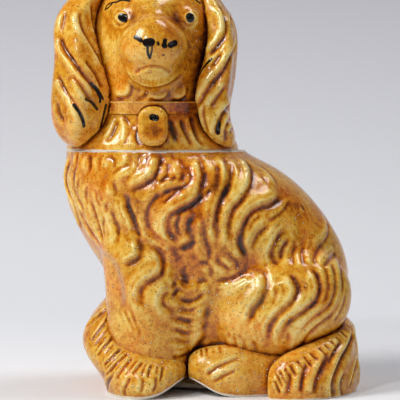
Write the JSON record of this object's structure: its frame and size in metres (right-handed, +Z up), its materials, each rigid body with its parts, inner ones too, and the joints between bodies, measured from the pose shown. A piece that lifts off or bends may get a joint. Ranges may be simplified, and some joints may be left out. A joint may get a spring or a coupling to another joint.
{
  "type": "lidded dog jar",
  "caption": "Lidded earthenware jar in the shape of a seated spaniel in honey glaze; the head, turned to the viewer, lifts off as the lid.",
  "frame": {"origin": "on the table, under the middle of the figure's outline", "axes": "+Z up; the dog's trunk faces -X and its face is turned to -Y, where the viewer stands"},
  "size_m": [0.1793, 0.1257, 0.2464],
  "materials": {
    "honey_glaze": "thick honey-brown lead glaze, glossy",
    "bare_clay": "unglazed pale clay, matt"
  },
  "bodies": {
    "jar": {"jar_near_half": "honey_glaze", "jar_far_half": "honey_glaze", "near_foreleg": "honey_glaze", "far_foreleg": "honey_glaze", "near_forepaw": "honey_glaze", "far_forepaw": "honey_glaze", "near_haunch": "honey_glaze", "far_haunch": "honey_glaze", "near_hind_paw": "honey_glaze", "far_hind_paw": "honey_glaze", "tail": "honey_glaze", "base_slab": "bare_clay"},
    "head_lid": {"face_half": "honey_glaze", "head_back_half": "honey_glaze", "right_ear": "honey_glaze", "left_ear": "honey_glaze", "collar": "honey_glaze", "padlock": "honey_glaze", "lid_flange": "bare_clay"}
  },
  "joints": [
    {"name": "lid_lift", "type": "slide", "parent": "jar", "child": "head_lid", "axis": [0, 0, 1], "range_m": [0, 0.12]}
  ]
}
